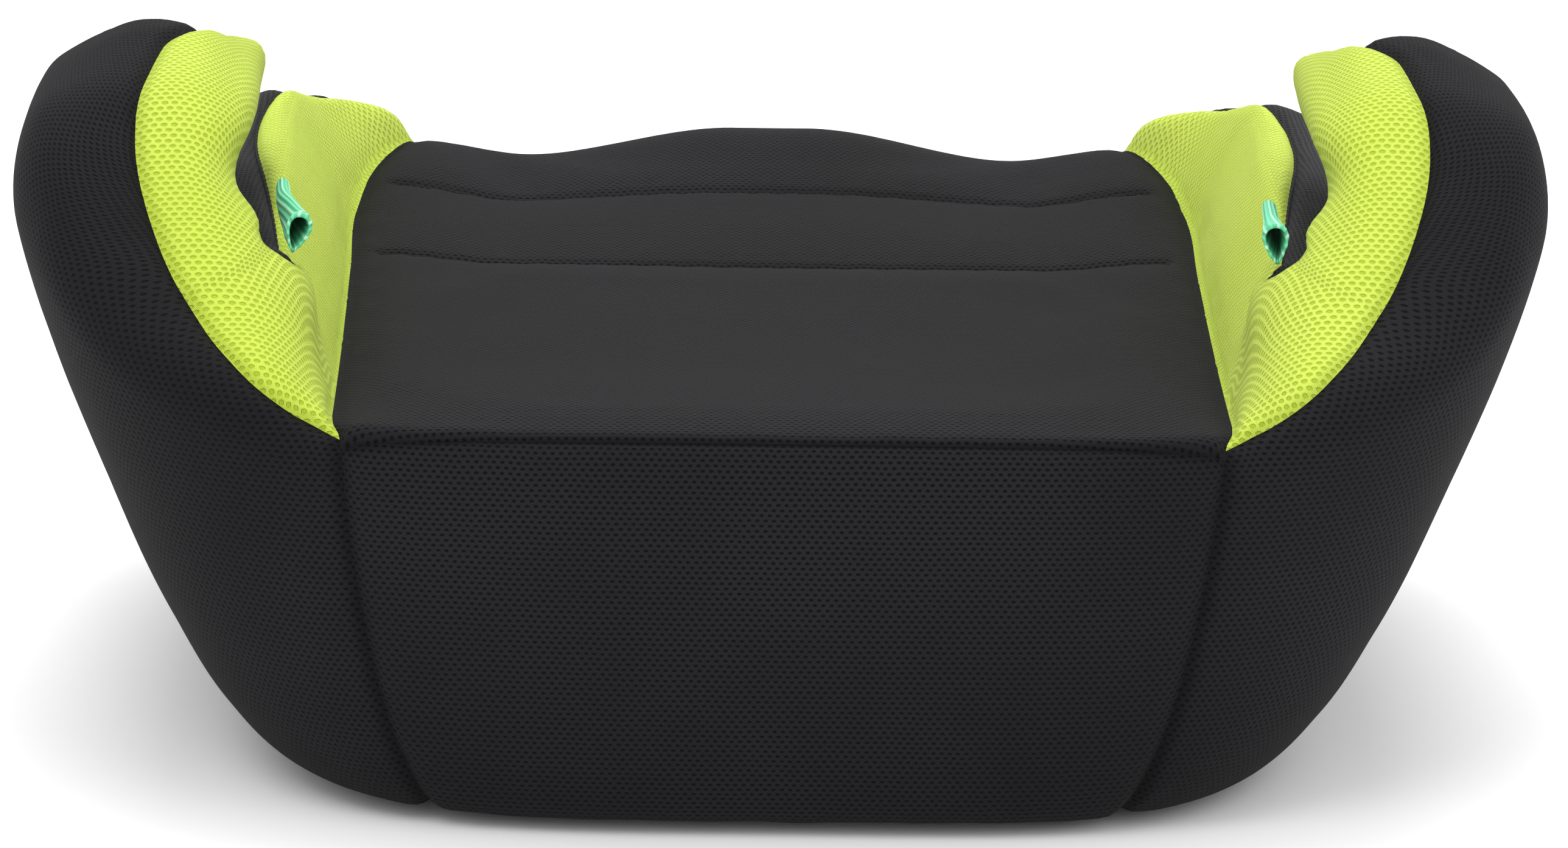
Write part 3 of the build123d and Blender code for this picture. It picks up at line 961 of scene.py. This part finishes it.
# ------------------------------------------------------------------ the sewn cover
points, quads = surface_net(seat_field, *COVER_BOX, GRID)
points = relax(points, quads, seat_field, 2)
tri = triangles_of(quads)
for seam_function in SEAMS:
    points, tri = split(points, tri, seam_function(points), near_a_change(points, tri))
names = classify(points[tri].mean(1))
edges, first, second = sewn_edges(tri, names)
samples = np.concatenate([points[edges].mean(1), points[edges[:, 0]], points[edges[:, 1]]])
beside = np.zeros(len(points), bool)
beside[edges.reshape(-1)] = True
for level in (((1.0, 2.2, 4.2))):
    reach = grow(beside, tri, 4)
    d = np.full(len(points), 30.0)
    d[reach] = distances(points[reach], samples, 30.0)
    points, tri = split(points, tri, d - level, reach)
    beside = np.concatenate([beside, np.zeros(len(points) - len(beside), bool)])
for k in range(2):
    for off in (-2.0, 0.0, 2.0):
        g = points[:, 1] - quilt_line(points[:, 0], k) - off
        near = (np.abs(g) < 6) & on_seat_top(points, QUILT_HALF + 2)
        points, tri = split(points, tri, g, near)
names = classify(points[tri].mean(1))
edges, first, second = sewn_edges(tri, names)
seam = distances(points, samples, 60.0)
normal = outward(points)
lift_at = cloth_lift(samples)
lift = relief(points, seam)
if lift_at:
    lift += lift_at(points) * (1 - np.exp(-(seam / 6.0) ** 2))
lift = np.where(points[:, 2] < 5, np.minimum(lift, 0.0), lift)
outer = points + normal * lift[:, None]
inner = outer - normal * CLOTH_THICK

SLOT_OF = {"seat_panel": "black_cover", "back_panel": "black_cover", "front_panel": "black_cover",
           "side_panel": "black_cover", "arm_panel": "lime_cover", "slot_liner": "slot_mesh",
           "hem_band": "black_binding"}
pieces, flat_area = {}, {}
middle = points[tri].mean(1)
for name in SLOT_OF:
    whose = [("", names == name)]
    if name in ("side_panel", "arm_panel", "slot_liner"):
        whose = [("_left", (names == name) & (middle[:, 0] > 0)),
                 ("_right", (names == name) & (middle[:, 0] < 0))]
    for end, chosen in whose:
        shape, faces, rim, used = closed_shell(outer, inner, tri[chosen])
        weave = weave_of(name, points[used])
        piece = make_piece("sewn_" + name + end, shape, faces, SLOT_OF[name], weave=np.tile(weave, (2, 1)),
                           seam=np.tile(seam[used], 2), sharp=rim)
        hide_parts(name + end)
        a, b, c = (outer[tri[chosen]][:, i] for i in range(3))
        area = float(np.linalg.norm(np.cross(b - a, c - a), axis=1).sum() / 2) * MM * MM
        pieces[name + end], flat_area[name + end] = piece, area


# ------------------------------------------------------------------ thread
def on_cover(x, y, z):
    """The point of the finished cover nearest to a guess, and its outward direction."""
    p = onto_surface(seat_field, np.column_stack([x, y, z]), 3)
    n = outward(p)
    return p + n * relief(p, np.full(len(p), 30.0))[:, None], n


stitches = []
for k in range(2):
    x = np.arange(-117.0, 117.1, 0.9)
    y = quilt_line(x, k)
    path, n = on_cover(x, y, seat_height(np.abs(x), y))
    if lift_at:
        path = path + n * lift_at(path)[:, None] * 0.5
    for i in range(0, len(path) - 4, 5):
        hump = path[i:i + 4] + n[i:i + 4] * np.array([-0.35, 0.3, 0.3, -0.35])[:, None]
        stitches.append(tube(hump, 0.34))
shape, faces = joined(stitches)
make_piece("quilt_stitches", shape, faces, "black_cover", material=DARK_THREAD)

overlock = []
chosen = (((first == "arm_panel") & (second == "slot_liner"))
          | ((first == "slot_liner") & (second == "arm_panel")))
for run in chains(edges[chosen]):
    if len(run) >= 12:
        overlock.append(tube(evenly(outer[run], 1.6), 0.62, wobble=0.22))
shape, faces = joined(overlock)
make_piece("slot_overlock", shape, faces, "slot_mesh", material=DARK_THREAD)


# ------------------------------------------------------------------ guide loops
# Sewn line of each loop from its front end to its rear end, with X measured outwards.
LOOP_LINE = {"left": [(142.6, 79.0, 154.8), (141.4, 92.0, 154.4), (139.6, 106.0, 153.8),
                      (136.6, 120.5, 152.9)],
             "right": [(141.6, 79.0, 154.8), (141.2, 92.0, 154.5), (140.0, 106.0, 154.0),
                       (138.0, 120.5, 153.2)]}
# Share of the way along the loop, lean towards the seat in degrees, height and width.
LOOP_FORM = {"left": [(0, 4, 10.5, 4.2), (0.3, 10, 9.2, 4.6), (0.5, 34, 8.6, 4.2), (0.66, 40, 9.6, 4.8),
                      (0.82, 26, 10.4, 6.4), (1, 16, 11.5, 7.8)],
             "right": [(0, 22, 8.4, 4.4), (0.3, 24, 8.8, 4.8), (0.6, 20, 9.6, 5.4), (0.8, 14, 10.6, 6.8),
                       (1, 6, 11.6, 8.2)]}
LOOP_STEPS, LOOP_RING = 56, 64
LOOP_AROUND, LOOP_LONG = 24.0, 42.0
WEBBING_THICK = 1.15


def guide_loop(side):
    """A ribbed ribbon folded along its length into a drop-shaped loop."""
    line = np.array(LOOP_LINE[side])
    form = np.array(LOOP_FORM[side], float)
    t = np.linspace(0, 1, LOOP_STEPS)
    base = np.column_stack([np.interp(t, np.linspace(0, 1, len(line)), line[:, i]) for i in range(3)])
    lean, height, width = (np.array(curve(list(zip(form[:, 0], form[:, i])))(t)) for i in (1, 2, 3))
    lean = np.radians(lean)
    up = np.column_stack([-np.sin(lean), np.zeros(LOOP_STEPS), np.cos(lean)])
    across = np.column_stack([np.cos(lean), np.zeros(LOOP_STEPS), np.sin(lean)])
    s = np.linspace(0, 1, LOOP_RING, endpoint=False)
    turn = 2 * math.pi * s
    rise = (1 - np.cos(turn)) / 2
    out = np.sin(turn) * (0.32 + 0.68 * rise) * 0.62
    layers, cloth = [], []
    for depth in (0.0, WEBBING_THICK):
        rib = 0.10 * np.cos(turn * 13) * (rise > 0.06) if depth == 0 else 0.0
        h = np.maximum(height[:, None] - 2 * depth, 1.0) * rise + depth
        w = np.maximum(width[:, None] - 1.7 * depth, 0.5) * out
        length = np.hypot(h - height[:, None] * 0.55, w) + 1e-6
        h = h + rib * (h - height[:, None] * 0.55) / length
        w = w + rib * w / length
        layers.append(base[:, None] + up[:, None] * h[..., None] + across[:, None] * w[..., None])
    shape = np.stack(layers).reshape(-1, 3)
    if side == "right":
        shape[:, 0] *= -1
    n, m = LOOP_STEPS, LOOP_RING
    faces = []
    for layer in range(2):
        for i in range(n - 1):
            for j in range(m):
                k = (j + 1) % m
                a = layer * n * m
                quad = (a + i * m + j, a + (i + 1) * m + j, a + (i + 1) * m + k, a + i * m + k)
                faces.append(quad if layer == 0 else quad[::-1])
    for i in (0, n - 1):
        for j in range(m):
            k = (j + 1) % m
            quad = (i * m + j, i * m + k, n * m + i * m + k, n * m + i * m + j)
            faces.append(quad if i == 0 else quad[::-1])
    if side == "right":
        faces = [f[::-1] for f in faces]
    u = np.tile(s * LOOP_AROUND, (2 * n, 1)).ravel()
    v = np.tile(np.repeat(t * LOOP_LONG, m), 2)
    return shape, faces, np.column_stack([u, v])


for side in ("left", "right"):
    shape, faces, weave = guide_loop(side)
    loop = make_piece("webbing_loop_" + side, shape, faces, "mint_webbing", body="loop_" + side, weave=weave)
    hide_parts("guide_loop_" + side)

# ------------------------------------------------------------------ elastic in the hem
ELASTIC_STEPS = 900
# The tape's section: distance in from the outline, and height.
ELASTIC_SECTION = [(18.6, 1.7), (19.2, 1.35), (21.5, 1.3), (23.6, 1.35), (24.0, 1.7), (24.0, 4.0),
                   (23.4, 4.4), (21.5, 4.5), (19.2, 4.4), (18.6, 4.0)]
angles = np.arange(ELASTIC_STEPS) * 2 * math.pi / ELASTIC_STEPS
a, b = float(half_width(0.0)), float(half_depth(0.0))
gather = np.sin(angles * 210) * 0.5 + np.sin(angles * 97 + 1) * 0.25
elastic = []
for inset, height in ELASTIC_SECTION:
    r = (1 - 2 * (inset + gather * 0.35) / (a + b)) * outline_radius(angles, a, b)
    z = height + np.maximum(gather, -0.2) * 0.4
    elastic.append(np.column_stack([r * np.cos(angles), r * np.sin(angles), z]))
rings = np.stack(elastic, 1)
m = len(ELASTIC_SECTION)
faces = [(i * m + j, i * m + (j + 1) % m, (i + 1) % ELASTIC_STEPS * m + (j + 1) % m,
          (i + 1) % ELASTIC_STEPS * m + j) for i in range(ELASTIC_STEPS) for j in range(m)]
weave = np.column_stack([np.tile(np.arange(m) * 1.3, ELASTIC_STEPS),
                         np.repeat(round_the_side(rings[:, 0]), m)])
shape = rings.reshape(-1, 3)
tape = make_piece("elastic_tape", shape, faces, "elastic", weave=weave)
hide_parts("hem_elastic")


# ------------------------------------------------------------------ foam and cores under the cover
TONGUE_MIDDLE, TONGUE_HALF = (143.0, 128.0, 82.0), (13.0, 14.0, 34.0)


def foam_region(kind, p):
    x, y, z = p[:, 0], p[:, 1], p[:, 2]
    if kind == "foam_body":
        return np.maximum(z - 91.8, 4.7 - z)
    above_deck = 92.2 - z
    if kind == "seat_foam":
        return np.maximum(np.abs(x) - 122.6, above_deck)
    wing = np.maximum(123.2 - x, above_deck)
    over = np.maximum(slot_middle(p), y - 113.0)
    return np.maximum(wing, over + 0.2 if kind == "bolster_foam" else 0.2 - over)


def foam_field(kind):
    def field(p):
        skin = seat_field(p) + 5.0
        if kind == "arm_foam":
            skin = np.maximum(skin, -(seat_field(p) + 9.5))
        if kind == "arm_core":
            tongue = np.abs(p - TONGUE_MIDDLE).T - np.array(TONGUE_HALF)[:, None]
            return np.minimum(smooth_max(skin + 5.2, foam_region("arm_foam", p), 2.5), tongue.max(0))
        return smooth_max(skin, foam_region(kind, p), 2.5)
    return field


# What each is made of, whether it comes as a pair, and the box that it is looked for in.
FOAMS = {"foam_body": ("moulded_foam", False, (-212, -192, -2), (212, 192, 98)),
         "seat_foam": ("soft_foam", False, (-130, -192, 86), (130, 192, 134)),
         "bolster_foam": ("soft_foam", True, (116, -190, 86), (226, 124, 160)),
         "arm_foam": ("soft_foam", True, (116, -20, 86), (226, 190, 212)),
         "arm_core": ("core_plastic", True, (116, -20, 42), (226, 190, 212))}
for kind, (stuff, paired, low, high) in FOAMS.items():
    step = 5.0 if kind == "foam_body" else 3.6
    shape, faces = surface_net(foam_field(kind), np.array(low, float), np.array(high, float), step)
    for end, sign in (("_left", 1), ("_right", -1)) if paired else (("", 1),):
        facing = faces if sign > 0 else faces[:, ::-1]
        foam = make_piece("inner_" + kind + end, shape * (sign, 1, 1), facing, stuff)
        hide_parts(kind + end)

# ------------------------------------------------------------------ finishes of the CAD parts
for node_name, slot_name in (("arm_pins", "core_plastic"),
                             ("base_plate", "plate_plastic"), ("cover_hooks", "plate_plastic"),
                             ("rubber_pads", "rubber"), ("plate_screws", "screw_steel")):
    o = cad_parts[node_name]
    o.data.materials.clear()
    o.data.materials.append(MATERIALS[slot_name])

# ------------------------------------------------------------------ camera, light, floor
CAMERA_AT = (0.027, 1.683, 0.507)
YAW, PITCH, ROLL = math.radians(-1.03), math.radians(14.41), math.radians(1.0)
LENS = 132.0


def camera_matrix():
    forward = Vector((math.sin(YAW) * math.cos(PITCH), -math.cos(YAW) * math.cos(PITCH), -math.sin(PITCH)))
    right = Vector((-math.cos(YAW), -math.sin(YAW), 0))
    up = right.cross(forward)
    r = math.cos(ROLL) * right + math.sin(ROLL) * up
    u = -math.sin(ROLL) * right + math.cos(ROLL) * up
    m = Matrix((r, u, -forward)).transposed().to_4x4()
    m.translation = Vector(CAMERA_AT)
    return m


camera = bpy.data.objects.new("camera", bpy.data.cameras.new("camera"))
camera.data.lens = LENS
camera.data.sensor_width = 36.0
camera.matrix_world = camera_matrix()
bpy.context.scene.collection.objects.link(camera)
bpy.context.scene.camera = camera


def area_light(name, at, size, power, target=(0, 0, 0.1)):
    light = bpy.data.lights.new(name, "AREA")
    light.energy, light.size = power, size
    o = bpy.data.objects.new(name, light)
    o.location = at
    o.rotation_euler = (Vector(target) - Vector(at)).to_track_quat("-Z", "Y").to_euler()
    bpy.context.scene.collection.objects.link(o)


area_light("key_light", (0.7, 1.1, 1.7), 0.9, 9)
area_light("fill_light", (-1.2, 1.0, 1.1), 1.4, 7)
area_light("top_light", (0, -0.5, 1.8), 1.4, 22)
bpy.context.scene.view_settings.view_transform = "Standard"
world = bpy.data.worlds.new("world")
world.use_nodes = True
world.node_tree.nodes["Background"].inputs["Color"].default_value = (1, 1, 1, 1)
world.node_tree.nodes["Background"].inputs["Strength"].default_value = 1.08
bpy.context.scene.world = world

floor_mesh = bpy.data.meshes.new("floor")
floor_mesh.from_pydata([(-5, -5, 0), (5, -5, 0), (5, 5, 0), (-5, 5, 0)], [], [(0, 1, 2, 3)])
floor = bpy.data.objects.new("floor", floor_mesh)
bpy.context.scene.collection.objects.link(floor)
paper = Shader("floor_paper", 0.9)
floor_mesh.materials.append(paper.finish(paper.mix(paper.noise(6.0), (0.94, 0.94, 0.94), (0.96, 0.96, 0.96))))
floor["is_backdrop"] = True

low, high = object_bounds()
